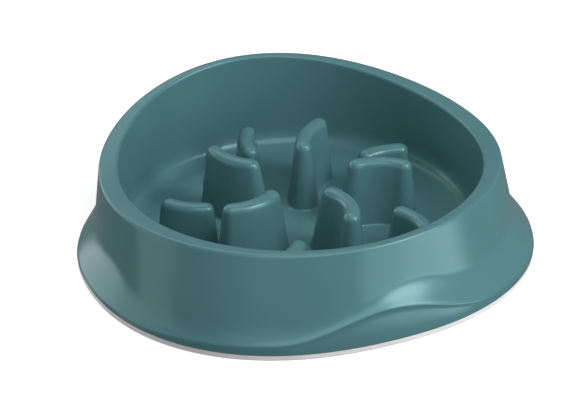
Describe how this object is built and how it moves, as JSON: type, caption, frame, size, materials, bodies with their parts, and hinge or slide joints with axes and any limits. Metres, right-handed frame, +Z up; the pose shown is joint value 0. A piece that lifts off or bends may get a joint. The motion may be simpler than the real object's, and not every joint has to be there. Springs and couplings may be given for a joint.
{
  "type": "slow feeder bowl",
  "caption": "Oval slow feeder pet bowl with a raised back, a flared skirt with a finger scoop, curved standing ridges in the well and a non-slip ring under the skirt.",
  "frame": {"origin": "centre of the footprint on the plane the bowl stands on", "axes": "+X to the bowl's right seen from its low front, +Y to its tall back, +Z up; the finger scoop is on the -Y side"},
  "size_m": [0.2844, 0.249, 0.0736],
  "materials": {
    "moulding": "satin, slightly soft sheen",
    "non_slip": "matte"
  },
  "bodies": {
    "root": {"bowl_shell": "moulding", "feeding_well": "moulding", "base_ring": "non_slip", "tall_ridge_1": "moulding", "tall_ridge_2": "moulding", "tall_ridge_3": "moulding", "tall_ridge_4": "moulding", "tall_ridge_5": "moulding", "low_ridge_1": "moulding", "low_ridge_2": "moulding", "low_ridge_3": "moulding", "low_ridge_4": "moulding", "low_ridge_5": "moulding"}
  },
  "joints": []
}
